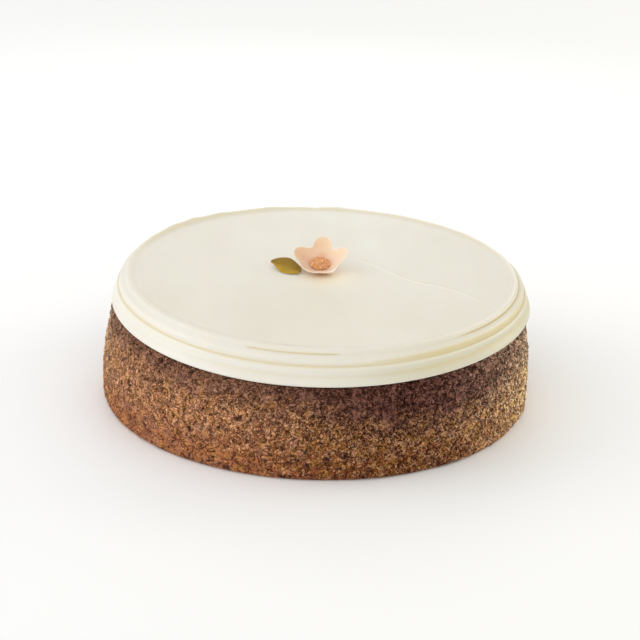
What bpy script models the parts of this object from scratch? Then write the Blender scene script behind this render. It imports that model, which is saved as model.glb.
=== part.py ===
# Round one-layer cake: a baked sponge, a thick disc of icing, a sugar flower and a sugar leaf.
# Metres, +Z up. The origin is the centre of the flat underside, and the front faces -Y.
from math import cos, pi, radians, sin, sqrt

import bmesh
import bpy
import numpy as np

mm = 0.001
gap = 0.3 * mm  # kept between pieces that touch
segments = 112  # round the sponge and the icing
seed = 7

# Sponge, baked in a round tin
sponge_height = 44.2 * mm
widest_radius = 101.5 * mm
widest_height = 14.0 * mm
foot_radius = 101.0 * mm
heel_rounding = 2.4 * mm
shoulder_radius = 96.9 * mm
shoulder_rounding = 2.8 * mm
shoulder_power = 1.6
side_rows = 10
lean = 0.8 * mm  # how far the top sits over to +X
oval = 0.5 * mm  # longer along oval_angle, shorter across it
oval_angle = radians(81)
crag_height = 0.32 * mm

# The top of the sponge, and the icing on it, is saddle shaped: high at the sides
saddle_lift = 1.4 * mm
saddle_radius = 98.0 * mm
saddle_angle = radians(-10.6)

# Icing: bands between three grooves, each point as radius and height
icing_centre = (1.8 * mm, 1.0 * mm)
lip = (97.7 * mm, 45.1 * mm)
low_groove = (97.0 * mm, 49.3 * mm)
main_groove = (95.4 * mm, 53.3 * mm)
hairline = (92.5 * mm, 57.7 * mm)
crest = (91.3 * mm, 59.6 * mm)
crest_foot = (88.8 * mm, 59.0 * mm)
low_band_bulge = 1.3 * mm
middle_band_bulge = 0.75 * mm
upper_band_bulge = 1.2 * mm
icing_top = crest_foot[1]
lip_underside = 96.8 * mm  # radius where the lip turns under
crest_back_lift = 0.6 * mm
crest_lump = 0.8 * mm  # a high place at the left of the back
crest_lump_angle = radians(138)
crest_lump_width = radians(18)

# Flower: five petals in one cupped piece, leaning towards the front
petals = 5
flower_place = (0.6 * mm, 6.6 * mm)
flower_turn = radians(-3)
petal_reach = 14.2 * mm
petal_half_width = 4.9 * mm
petal_depth = 6.4 * mm  # rise from the floor to the tips
petal_power = 1.9
# From the back petal, turning to its left: how far each reaches and how high it stands
petal_reaches = (1.0, 1.0, 0.86, 0.85, 1.0)
petal_rises = (0.98, 0.88, 1.1, 1.0, 1.08)
petal_curl = 0.9 * mm  # how far a petal's sides stand above its middle
flower_tilt = radians(16)
petal_thickness = 1.1 * mm
flower_foot = 4.6 * mm
angle_steps = 12  # for each petal

# Flower centre: a small dome of coarse sugar
dome_radius = 4.5 * mm
dome_height = 2.3 * mm
dome_rings = 6
dome_segments = 20
grain_relief = 0.18 * mm

# Leaf, its stem end tucked below the petals
leaf_tip = (-23.2 * mm, 3.9 * mm)  # from the flower's place
leaf_stem = (-9.6 * mm, -8.9 * mm)
leaf_width = 8.4 * mm
leaf_thickness = 0.7 * mm
leaf_roll = radians(26)  # the far edge up
leaf_droop = 1.1 * mm  # of the tip and the stem end
leaf_wave = 0.35 * mm
leaf_fold = 0.5 * mm  # the midrib lies below the two halves
leaf_fullness = 1.3  # above 1 the leaf is widest towards its stem
leaf_steps = 14
leaf_rows = 6

sponge_colour = (0.155, 0.068, 0.036)
icing_colour = (0.80, 0.74, 0.61)
petal_colour = (0.86, 0.60, 0.42)
dome_colour = (0.70, 0.33, 0.16)
leaf_colour = (0.24, 0.19, 0.035)


def clear_scene():
    for old in list(bpy.data.objects):
        bpy.data.objects.remove(old, do_unlink=True)


def finish(name, verts, faces, colour, roughness, sharp=40):
    """One closed piece with its own material."""
    mesh = bpy.data.meshes.new(name)
    mesh.from_pydata([tuple(v) for v in verts], [], faces)
    work = bmesh.new()
    work.from_mesh(mesh)
    bmesh.ops.recalc_face_normals(work, faces=work.faces)
    work.to_mesh(mesh)
    work.free()
    mesh.shade_smooth()
    mesh.set_sharp_from_angle(angle=radians(sharp))
    material = bpy.data.materials.new(name)
    material.use_nodes = True
    shader = material.node_tree.nodes["Principled BSDF"]
    shader.inputs["Base Color"].default_value = (*colour, 1.0)
    shader.inputs["Roughness"].default_value = roughness
    shader.inputs["Metallic"].default_value = 0.0
    mesh.materials.append(material)
    piece = bpy.data.objects.new(name, mesh)
    bpy.context.scene.collection.objects.link(piece)
    return piece


def closed_rings(rings, first, last):
    """Verts and faces of rings joined in order and closed by a fan to a point at either end."""
    count, around = rings.shape[:2]
    verts = np.vstack([rings.reshape(-1, 3), [first], [last]])
    faces = []
    for row in range(count - 1):
        for step in range(around):
            after = (step + 1) % around
            low, high = row * around, (row + 1) * around
            faces.append((low + step, low + after, high + after, high + step))
    bottom, top = count * around, count * around + 1
    for step in range(around):
        after = (step + 1) % around
        faces.append((bottom, after, step))
        faces.append((top, (count - 1) * around + step, (count - 1) * around + after))
    return verts, faces


def saddle(x, y):
    """Height of the saddle: the square of the radius times the cosine of twice the angle."""
    turn = 2 * saddle_angle
    return saddle_lift * ((x * x - y * y) * cos(turn) + 2 * x * y * sin(turn)) / saddle_radius ** 2


def arc(centre, radius, start, end, steps):
    angles = np.radians(np.linspace(start, end, steps))
    return [(centre[0] + radius * cos(a), centre[1] + radius * sin(a)) for a in angles]


def sponge_profile():
    """Radius and height from the edge of the flat underside to the edge of the top."""
    points = arc((foot_radius - heel_rounding, heel_rounding), heel_rounding, -90, 0, 4)
    top_of_side = sponge_height - shoulder_rounding
    for z in np.linspace(heel_rounding, top_of_side, side_rows + 1)[1:-1]:
        if z < widest_height:
            part = (widest_height - z) / widest_height
            radius = widest_radius - (widest_radius - foot_radius) * part ** 2
        else:
            part = (z - widest_height) / (sponge_height - widest_height)
            radius = widest_radius - (widest_radius - shoulder_radius) * part ** shoulder_power
        points.append((radius, z))
    centre = (shoulder_radius - shoulder_rounding, top_of_side)
    points += arc(centre, shoulder_rounding, 0, 90, 4)
    return np.array(points)


def sponge():
    profile = sponge_profile()
    draw = np.random.default_rng(seed)
    angle = np.linspace(0, 2 * pi, segments, endpoint=False)[None, :]
    radius = profile[:, :1] + oval * np.cos(2 * (angle - oval_angle))
    height = np.repeat(profile[:, 1:], segments, axis=1)
    on_side = np.clip(np.minimum(height, sponge_height - height) / (3 * mm), 0, 1)
    radius = radius + crag_height * on_side * draw.uniform(-1, 1, radius.shape)
    x = radius * np.cos(angle) + lean * height / sponge_height
    y = radius * np.sin(angle)
    rings = np.stack([x, y, height + saddle(x, y) * (height / sponge_height) ** 2], axis=-1)
    inner = rings[-1].copy()
    inner[:, :2] *= 0.55
    inner[:, 2] = sponge_height + saddle(inner[:, 0], inner[:, 1])
    rings = np.concatenate([rings, inner[None]])
    verts, faces = closed_rings(rings, (0, 0, 0), (0, 0, sponge_height))
    return finish("sponge", verts, faces, sponge_colour, 0.9, sharp=75)


def bulged(start, end, bulge, steps):
    """Points between two grooves on a bowed line, bulge high at its middle."""
    (r0, z0), (r1, z1) = start, end
    along = np.linspace(0, 1, steps + 2)[1:-1]
    length = sqrt((r1 - r0) ** 2 + (z1 - z0) ** 2)
    out = ((z1 - z0) / length, (r0 - r1) / length)
    bow = bulge * np.sin(pi * along)
    return [(r0 + (r1 - r0) * t + out[0] * b, z0 + (z1 - z0) * t + out[1] * b)
            for t, b in zip(along, bow)]


def icing():
    under = sponge_height + gap
    profile = [(48 * mm, under), (93.4 * mm, under), (lip_underside, under + 0.15 * mm), lip]
    profile += bulged(lip, low_groove, low_band_bulge, 3) + [low_groove]
    profile += bulged(low_groove, main_groove, middle_band_bulge, 2) + [main_groove]
    profile += bulged(main_groove, hairline, upper_band_bulge, 2) + [hairline, crest, crest_foot]
    profile += [(62 * mm, icing_top), (30 * mm, icing_top)]
    profile = np.array(profile)
    angle = np.linspace(0, 2 * pi, segments, endpoint=False)[None, :]
    height = np.repeat(profile[:, 1:], segments, axis=1)
    x = icing_centre[0] + profile[:, :1] * np.cos(angle)
    y = icing_centre[1] + profile[:, :1] * np.sin(angle)
    # The saddle fades from the lip to the top
    share = np.clip((crest[1] - height) / (crest[1] - lip[1]), 0, 1)
    height = height + saddle(x, y) * (0.35 + 0.65 * np.minimum(1.3 * share, 1))
    at_crest = np.isclose(profile[:, 1], crest[1])[:, None]
    from_lump = (angle - crest_lump_angle) / crest_lump_width
    lift = crest_back_lift * (1 + np.sin(angle)) / 2 + crest_lump * np.exp(-from_lump ** 2)
    height = height + at_crest * lift
    rings = np.stack([x, y, height], axis=-1)
    middle = (icing_centre[0], icing_centre[1])
    verts, faces = closed_rings(rings, (*middle, under), (*middle, icing_top))
    return finish("icing", verts, faces, icing_colour, 0.45, sharp=30)


def nearest_petal(angle):
    """The petal that an angle lies in, the angle off its middle, and the neighbour on that side."""
    turn = 2 * pi / petals
    place = (angle - pi / 2 - flower_turn) / turn
    petal = np.floor(place + 0.5).astype(int)
    off = (place - petal) * turn
    return petal % petals, off, (petal + np.where(off < 0, -1, 1)) % petals


def petal_outline(angle):
    """Distance to the edge at an angle: each petal has straight sides and a round end."""
    petal, off, _ = nearest_petal(angle)
    middle = petal_reach * np.array(petal_reaches)[petal] - petal_half_width
    inside = np.maximum(petal_half_width ** 2 - (middle * np.sin(off)) ** 2, 0)
    end = middle * np.cos(off) + np.sqrt(inside)
    at_end = np.abs(off) < np.arctan2(petal_half_width, middle)
    side = petal_half_width / np.maximum(np.abs(np.sin(off)), 0.2)
    return np.where(at_end, end, side)


def petal_height(radius, angle):
    """Rise of the bowl: a power of the radius, times the petal's own rise, plus its curled sides."""
    petal, off, neighbour = nearest_petal(angle)
    rises = np.array(petal_rises)
    # The rises of neighbours meet halfway, in the valley between them
    to_valley = (off * petals / pi) ** 2
    rise = rises[petal] * (1 - to_valley / 2) + rises[neighbour] * to_valley / 2
    reach = radius / petal_reach
    return petal_depth * rise * reach ** petal_power + petal_curl * reach * to_valley


def tilt(points):
    """Lean points towards -Y by the flower's tilt."""
    y, z = points[..., 1].copy(), points[..., 2].copy()
    points[..., 1] = y * cos(flower_tilt) - z * sin(flower_tilt)
    points[..., 2] = y * sin(flower_tilt) + z * cos(flower_tilt)
    return points


def flower_lift():
    """Height of the flower's middle, so that the front of its foot just clears the icing."""
    return icing_top + gap + petal_thickness * cos(flower_tilt) + 0.55 * flower_foot * sin(flower_tilt)


def flower():
    angle = np.linspace(0, 2 * pi, petals * angle_steps, endpoint=False)[None, :]
    angle = angle + pi / 2 + flower_turn
    outline = petal_outline(angle)
    part = np.array([0.16, 0.32, 0.46, 0.62, 0.8, 0.93, 1.0])[:, None]
    radius = part * outline
    x, y = radius * np.cos(angle), radius * np.sin(angle)
    above = tilt(np.stack([x, y, petal_height(radius, angle)], axis=-1))
    below = tilt(np.stack([x, y, petal_height(radius, angle) - petal_thickness], axis=-1))
    lift = flower_lift()
    above[..., 2] += lift
    below[..., 2] += lift
    # The underside ends in a flat foot on the icing
    below[0, :, 2] = icing_top + gap
    rings = np.concatenate([below, above[::-1]])
    rings[..., 0] += flower_place[0]
    rings[..., 1] += flower_place[1]
    foot = (flower_place[0], flower_place[1], icing_top + gap)
    verts, faces = closed_rings(rings, foot, (flower_place[0], flower_place[1], lift))
    return finish("flower", verts, faces, petal_colour, 0.6)


def flower_centre():
    draw = np.random.default_rng(seed + 1)
    angle = np.linspace(0, 2 * pi, dome_segments, endpoint=False)[None, :]
    polar = np.linspace(0, pi / 2, dome_rings + 1)[:-1, None]
    radius = dome_radius * np.cos(polar) + grain_relief * draw.uniform(-1, 1, (dome_rings, dome_segments))
    height = dome_height * np.sin(polar) + gap
    x, y = radius * np.cos(angle), radius * np.sin(angle)
    rings = np.stack([x, y, height + petal_height(radius, angle)], axis=-1)
    ends = np.array([[0, 0, gap], [0, 0, gap + dome_height]])
    rings, ends = tilt(rings), tilt(ends)
    shift = np.array([flower_place[0], flower_place[1], flower_lift()])
    verts, faces = closed_rings(rings + shift, ends[0] + shift, ends[1] + shift)
    return finish("flower_centre", verts, faces, dome_colour, 0.8, sharp=60)


def leaf():
    tip, stem = np.array(leaf_tip), np.array(leaf_stem)
    length = np.linalg.norm(stem - tip)
    along = (stem - tip) / length
    across = np.array([-along[1], along[0]])
    if across[1] < 0:
        across = -across
    u = np.linspace(0.03, 0.97, leaf_steps)[:, None]
    v = np.linspace(-1, 1, leaf_rows + 1)[None, :]
    half = leaf_width / 2 * np.sin(pi * u ** leaf_fullness) ** 0.75
    side = half * v
    rise = side * sin(leaf_roll) + leaf_fold * np.abs(v) + leaf_wave * np.sin(3 * pi * u) * v ** 2
    ground = rise - leaf_droop * (2 * u - 1) ** 2
    # The near edge lies on the icing
    ground = ground - ground.min() + icing_top + gap + leaf_thickness / 2
    flat = side * cos(leaf_roll)
    place = np.array(flower_place) + tip
    x = place[0] + along[0] * length * u + across[0] * flat
    y = place[1] + along[1] * length * u + across[1] * flat
    above = np.stack([x, y, ground + leaf_thickness / 2], axis=-1)
    below = np.stack([x, y, ground - leaf_thickness / 2], axis=-1)
    # Each ring runs across the top face and back across the underside
    rings = np.concatenate([above, below[:, ::-1]], axis=1)
    verts, faces = closed_rings(rings, rings[0].mean(axis=0), rings[-1].mean(axis=0))
    return finish("leaf", verts, faces, leaf_colour, 0.5)


clear_scene()
sponge()
icing()
flower()
flower_centre()
leaf()
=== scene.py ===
from math import cos, pi, radians, sin

import bpy
import numpy as np
from mathutils import Matrix, Vector


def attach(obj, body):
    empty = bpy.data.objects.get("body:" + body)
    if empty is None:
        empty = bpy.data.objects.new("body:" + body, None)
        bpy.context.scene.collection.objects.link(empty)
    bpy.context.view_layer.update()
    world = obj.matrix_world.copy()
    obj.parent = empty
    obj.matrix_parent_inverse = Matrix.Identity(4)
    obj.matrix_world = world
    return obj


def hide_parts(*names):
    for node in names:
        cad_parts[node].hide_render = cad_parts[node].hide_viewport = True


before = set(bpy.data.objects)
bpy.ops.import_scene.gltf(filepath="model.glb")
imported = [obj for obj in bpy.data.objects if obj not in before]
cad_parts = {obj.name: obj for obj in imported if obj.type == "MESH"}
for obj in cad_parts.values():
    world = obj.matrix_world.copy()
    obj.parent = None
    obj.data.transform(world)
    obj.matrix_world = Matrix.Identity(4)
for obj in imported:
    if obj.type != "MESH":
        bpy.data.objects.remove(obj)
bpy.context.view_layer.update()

mm = 0.001

# Shapes that the sponge and the icing share: the top of the sponge is a shallow saddle
saddle = {"lift": 1.4, "radius": 98.0, "angle": radians(-10.6)}


def saddleHeight(x, y):
    # the square of the radius times the cosine of twice the angle, x and y in mm
    turn = 2 * saddle["angle"]
    twice = (x * x - y * y) * cos(turn) + 2 * x * y * sin(turn)
    return saddle["lift"] * twice / saddle["radius"] ** 2


def smoothstep(low, high, value):
    part = np.clip((value - low) / (high - low), 0, 1)
    return part * part * (3 - 2 * part)


def bell(value, middle, width):
    return np.exp(-((value - middle) / width) ** 2)


def aroundOff(angle, middle):
    # angle off a middle direction, from -pi to pi
    return (angle - middle + pi) % (2 * pi) - pi


def meshFromArrays(name, verts, faceLoops, faceSizes):
    mesh = bpy.data.meshes.new(name)
    mesh.vertices.add(len(verts))
    mesh.vertices.foreach_set("co", np.asarray(verts, np.float32).ravel() * mm)
    mesh.loops.add(len(faceLoops))
    mesh.loops.foreach_set("vertex_index", np.asarray(faceLoops, np.int32))
    mesh.polygons.add(len(faceSizes))
    starts = np.concatenate([[0], np.cumsum(faceSizes)[:-1]])
    mesh.polygons.foreach_set("loop_start", starts.astype(np.int32))
    mesh.update(calc_edges=True)
    mesh.validate()
    mesh.shade_smooth()
    piece = bpy.data.objects.new(name, mesh)
    bpy.context.scene.collection.objects.link(piece)
    return piece


def ringSolid(name, rings, first, last):
    # rings (rows, around, 3) in mm, joined in order, closed by a fan to one point at either end
    rows, around = rings.shape[:2]
    verts = np.vstack([rings.reshape(-1, 3), [first], [last]])
    step = np.arange(around)
    after = (step + 1) % around
    row = np.arange(rows - 1)[:, None] * around
    quads = np.stack([row + step, row + after, row + around + after, row + around + step], axis=-1)
    bottom = np.stack([np.full(around, rows * around), after, step], axis=-1)
    end = (rows - 1) * around
    top = np.stack([np.full(around, rows * around + 1), end + step, end + after], axis=-1)
    loops = np.concatenate([quads.ravel(), bottom.ravel(), top.ravel()])
    sizes = np.concatenate([np.full(quads[..., 0].size, 4), np.full(2 * around, 3)])
    return meshFromArrays(name, verts, loops, sizes)


def paintAttribute(piece, name, values, ends):
    data = np.concatenate([np.asarray(values, np.float32).ravel(), ends]).astype(np.float32)
    attribute = piece.data.attributes.new(name, "FLOAT", "POINT")
    attribute.data.foreach_set("value", data)


def place(piece, node, material):
    piece.data.materials.append(material)
    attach(piece, "root")
    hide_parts(node)


# Crumb: one jittered point in every cell of a sheet that closes round the cake
def cellDistances(along, up, cell, girth, seed):
    # nearest and second nearest point distance, in cells, and a random value for the nearest cell
    columns = int(round(girth / cell))
    a, b = along * columns / girth, up / cell
    ia, ib = np.floor(a).astype(int), np.floor(b).astype(int)
    rowLow = ib.min() - 1
    draw = np.random.default_rng(seed)
    spread = draw.uniform(0, 1, (columns, ib.max() - rowLow + 2, 3))
    first = np.full(a.shape, 9.0)
    second = np.full(a.shape, 9.0)
    chance = np.zeros(a.shape)
    for da in (-1, 0, 1):
        for db in (-1, 0, 1):
            jitter = spread[(ia + da) % columns, ib + db - rowLow]
            distance = np.hypot(ia + da + jitter[..., 0] - a, ib + db + jitter[..., 1] - b)
            nearer = distance < first
            second = np.where(nearer, first, np.minimum(second, distance))
            chance = np.where(nearer, jitter[..., 2], chance)
            first = np.where(nearer, distance, first)
    return first, second, chance


def latticeNoise(along, up, cell, girth, seed):
    # drawn values on a lattice that closes round the cake, smoothly joined, from -1 to 1
    columns = int(round(girth / cell))
    a, b = along * columns / girth, up / cell
    ia, ib = np.floor(a).astype(int), np.floor(b).astype(int)
    fa, fb = a - ia, b - ib
    fa, fb = fa * fa * (3 - 2 * fa), fb * fb * (3 - 2 * fb)
    rowLow = ib.min()
    grid = np.random.default_rng(seed).uniform(-1, 1, (columns, ib.max() - rowLow + 2))
    left, right, row = ia % columns, (ia + 1) % columns, ib - rowLow
    low = grid[left, row] * (1 - fa) + grid[right, row] * fa
    high = grid[left, row + 1] * (1 - fa) + grid[right, row + 1] * fa
    return low * (1 - fb) + high * fb


def slowWaves(angle, up, count, seed, reach):
    # sum of a few waves round the cake and up it, each with a drawn phase, about 1 high
    draw = np.random.default_rng(seed)
    total = np.zeros(np.broadcast(angle, up).shape)
    for _ in range(count):
        turns = draw.integers(2, reach)
        rise = draw.uniform(-0.12, 0.12)
        total = total + np.cos(turns * angle + rise * up + draw.uniform(0, 2 * pi)) / count ** 0.5
    return total


# Sponge
sponge = {
    "height": 44.2, "widest": 101.5, "widestAt": 14.0, "foot": 101.0, "heel": 2.4,
    "shoulder": 96.9, "shoulderRound": 2.8, "shoulderPower": 1.6,
    "lean": 0.8, "oval": 0.5, "ovalAngle": radians(81),
    "around": 980, "sideRows": 86, "roundRows": 6,
    "swell": 0.25, "lumpCell": 5.5, "lumpHigh": 0.35,
    "crumbCell": 1.75, "warpCell": 2.3, "warp": 0.8, "creaseDeep": 0.5, "grainHigh": 0.5,
    "poreCell": 4.2, "poreShare": 0.30, "poreWide": 0.22, "poreDeep": 0.8,
    "spotCell": 10.5, "spotShare": 0.5, "spotWide": 0.10, "patchCell": 7.0, "shadedAngle": radians(-64),
    "rightAngle": radians(-4),
}


def spongeProfile(s):
    # radius and height up the side: a quarter circle heel, a bulged side, a quarter circle shoulder
    heel = np.radians(np.linspace(-90, 0, s["roundRows"]))
    heelRadius = s["foot"] + s["heel"] * (np.cos(heel) - 1)
    heelPoints = np.stack([heelRadius, s["heel"] * (1 + np.sin(heel))], axis=-1)
    sideTop = s["height"] - s["shoulderRound"]
    z = np.linspace(s["heel"], sideTop, s["sideRows"] + 2)[1:-1]
    under = np.clip((s["widestAt"] - z) / s["widestAt"], 0, 1)
    above = np.clip((z - s["widestAt"]) / (s["height"] - s["widestAt"]), 0, 1)
    radius = s["widest"] - (s["widest"] - s["foot"]) * under ** 2
    radius = radius - (s["widest"] - s["shoulder"]) * above ** s["shoulderPower"]
    turn = np.radians(np.linspace(0, 90, s["roundRows"]))
    bend = s["shoulderRound"]
    shoulder = np.stack([s["shoulder"] + bend * (np.cos(turn) - 1), sideTop + bend * np.sin(turn)], axis=-1)
    return np.vstack([heelPoints, np.stack([radius, z], axis=-1), shoulder])


def dots(along, up, cell, share, wide, girth, seed):
    # round marks in some of the cells, each with its own size, 1 in the middle and 0 outside
    near, _, chance = cellDistances(along, up, cell, girth, seed)
    size = wide * (0.55 + chance / share)
    return np.where(chance < share, 1 - smoothstep(0.35, 1.0, near / size), 0)


def makeSponge(s):
    profile = spongeProfile(s)
    angle = np.linspace(0, 2 * pi, s["around"], endpoint=False)[None, :]
    step = np.hypot(*np.diff(profile, axis=0).T)
    up = np.concatenate([[0], np.cumsum(step)])[:, None] + 0 * angle
    girth = 2 * pi * s["widest"]
    along = angle * s["widest"] + 0 * up
    # the crumb's cells are pushed about, so that no crease runs straight
    pushed = along + s["warp"] * latticeNoise(along, up, s["warpCell"], girth, seed=15)
    raisedUp = up + s["warp"] * latticeNoise(along, up, s["warpCell"], girth, seed=16)
    near, following, tone = cellDistances(pushed, raisedUp, s["crumbCell"], girth, seed=12)
    grainShape = smoothstep(0, 0.55, following - near)
    lump = latticeNoise(along, up, s["lumpCell"], girth, seed=11)
    patch = smoothstep(0.30, 0.62, latticeNoise(pushed, raisedUp, s["patchCell"], girth, seed=17))
    pit = dots(pushed, raisedUp, s["poreCell"], s["poreShare"], s["poreWide"], girth, seed=13)
    spot = dots(pushed, raisedUp, s["spotCell"], s["spotShare"], s["spotWide"], girth, seed=18)
    # grains stand between their creases, less so in the smoother patches
    relief = s["creaseDeep"] * (grainShape - 0.7) + s["grainHigh"] * (tone - 0.5) * grainShape
    relief = relief * (1 - 0.6 * patch) + s["lumpHigh"] * lump - s["poreDeep"] * pit
    relief = relief + s["swell"] * slowWaves(angle, up, count=9, seed=14, reach=22)
    height = np.repeat(profile[:, 1:], s["around"], axis=1)
    # the relief fades out at the flat underside and below the icing
    relief = relief * smoothstep(0, 1.6, height) * smoothstep(0, 2.0, s["height"] - height)
    radius = profile[:, :1] + s["oval"] * np.cos(2 * (angle - s["ovalAngle"])) + relief
    x = radius * np.cos(angle) + s["lean"] * height / s["height"]
    y = radius * np.sin(angle)
    rings = np.stack([x, y, height + saddleHeight(x, y) * (height / s["height"]) ** 2], axis=-1)
    inner = []
    for share in (0.8, 0.5, 0.2):
        ring = rings[-1].copy()
        ring[:, :2] *= share
        ring[:, 2] = s["height"] + saddleHeight(ring[:, 0], ring[:, 1])
        inner.append(ring)
    piece = ringSolid("spongeBody", np.concatenate([rings, inner]), (0, 0, 0), (0, 0, s["height"]))
    # painted light: brown at the front and the back, paler towards the sides, where the light from the left
    # and the right falls; grows with the angle off the brown line
    off = np.arcsin(np.abs(np.sin(angle - s["shadedAngle"])))
    behind = smoothstep(-0.10, 0.45, np.sin(angle))
    paintedSideLight = smoothstep(radians(3), radians(55), off) * (1 - 0.45 * behind)
    paintedSideLight = paintedSideLight + 0.08 * slowWaves(angle, up, count=5, seed=19, reach=6)
    # a painted sheen with glints: greyer at the far right, where the light grazes, not so behind it, and
    # over a narrower part at the far left
    towards = np.cos(angle - s["rightAngle"])
    paintedRightSheen = np.clip(towards, 0, 1) ** 4 * (1 - behind) + 0.6 * np.clip(-towards, 0, 1) ** 14
    marks = {"pore": pit, "crease": 1 - grainShape, "spot": spot, "patch": patch,
             "paintedSideLight": np.clip(paintedSideLight, 0, 1), "paintedRightSheen": paintedRightSheen + 0 * up}
    for name, values in marks.items():
        paintAttribute(piece, name, np.vstack([values, np.zeros((3, s["around"]))]), [0, 0])
    return piece


# A faint spatula mark on the icing, from the flower to the right: its y falls along x and sways
spatula = {
    "start": 33.8, "fall": 0.808, "sway": 2.6, "swayFrom": 13.0, "swayLength": 40.0,
    "slant": 0.78, "high": 0.21, "wide": 1.3,
}

# Icing: bands between three grooves, each point as radius and height
icing = {
    "centre": (1.8, 1.0), "under": 44.5, "turnUnder": 96.8,
    "lip": (97.8, 45.0), "lowGroove": (97.0, 49.3), "mainGroove": (95.4, 53.3),
    "hairline": (92.5, 57.7), "crest": (91.3, 59.6), "crestFoot": (88.8, 59.0),
    "lowBulge": 0.95, "middleBulge": 0.75, "upperBulge": 1.2,
    "backLift": 0.6, "lump": 0.8, "lumpAngle": radians(138), "lumpWidth": radians(18),
    "around": 720,
    # where the fine groove under the crest shows, then other parts of the rim: from and to in degrees
    "hairFront": (-109, -86), "hairRight": (-42, 118), "rightSpan": (-40, 75), "nearRight": (-35, 30),
    "backSpan": (30, 150), "lowShown": (-105, 75), "lowShadeSpan": (-110, 60), "wideShadeSpan": (-55, 60),
    "hairFill": 0.55, "hairShown": 0.26, "hairDeep": 0.32, "mainFill": 0.30, "mainDeep": 0.25,
    "lowFill": 0.35, "dishRise": 0.5, "scraperHigh": 0.035, "wobble": 0.10, "topFrom": 58.0,
    # small lumps on the crest: angle and width in degrees, height in mm
    "crestLumps": ((142.3, 2.2, 0.35), (134.7, 2.4, 0.4), (125.0, 2.6, 0.3), (107.0, 4.0, 0.4),
                   (93.0, 1.5, -0.4), (86.0, 2.5, 0.35)),
    "warmPlace": (4.5, -2.5), "warmWide": 14.0,
}


def bulged(start, end, bulge, steps, low=0.9, high=0.9):
    # points on a bowed line between two grooves, closer together towards the grooves; the bow
    # goes as t to the power low times 1 - t to the power high, so a power over 1 makes a soft
    # groove at that end and one under 1 a sharp ledge
    start, end = np.array(start), np.array(end)
    t = (1 - np.cos(np.linspace(0, pi, steps + 1)[:-1])) / 2
    line = end - start
    out = np.array([line[1], -line[0]]) / np.hypot(*line)
    fullest = low / (low + high)
    bow = bulge * (t / fullest) ** low * ((1 - t) / (1 - fullest)) ** high
    return start + t[:, None] * line + bow[:, None] * out


def icingProfile(s):
    lip = np.array(s["lip"])
    under = np.array([[30, s["under"]], [70, s["under"]], [93.4, s["under"]], [95.2, s["under"] + 0.06],
                      [s["turnUnder"], s["under"] + 0.15], lip + (-0.30, -0.30), lip + (-0.06, -0.10)])
    bands = [
        bulged(s["lip"], s["lowGroove"], s["lowBulge"], 15, 0.35, 1.3),
        bulged(s["lowGroove"], s["mainGroove"], s["middleBulge"], 15, 1.3, 0.6),
        bulged(s["mainGroove"], s["hairline"], s["upperBulge"], 19, 1.15, 0.9),
        bulged(s["hairline"], s["crest"], 0.35, 9),
        bulged(s["crest"], s["crestFoot"], 0.12, 7),
    ]
    radii = s["crestFoot"][0] * (1 - np.linspace(0, 1, 56)[:-1] ** 0.95)
    top = np.stack([radii, np.full(len(radii), s["crestFoot"][1])], axis=-1)
    return np.vstack([under] + bands + [top])


def between(angle, span, soft):
    # 1 inside a span of degrees, fading over soft degrees beyond either end
    middle, half = sum(span) / 2, (span[1] - span[0]) / 2
    off = np.abs(np.degrees(aroundOff(angle, radians(middle))))
    return 1 - smoothstep(half, half + soft, off)


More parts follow.
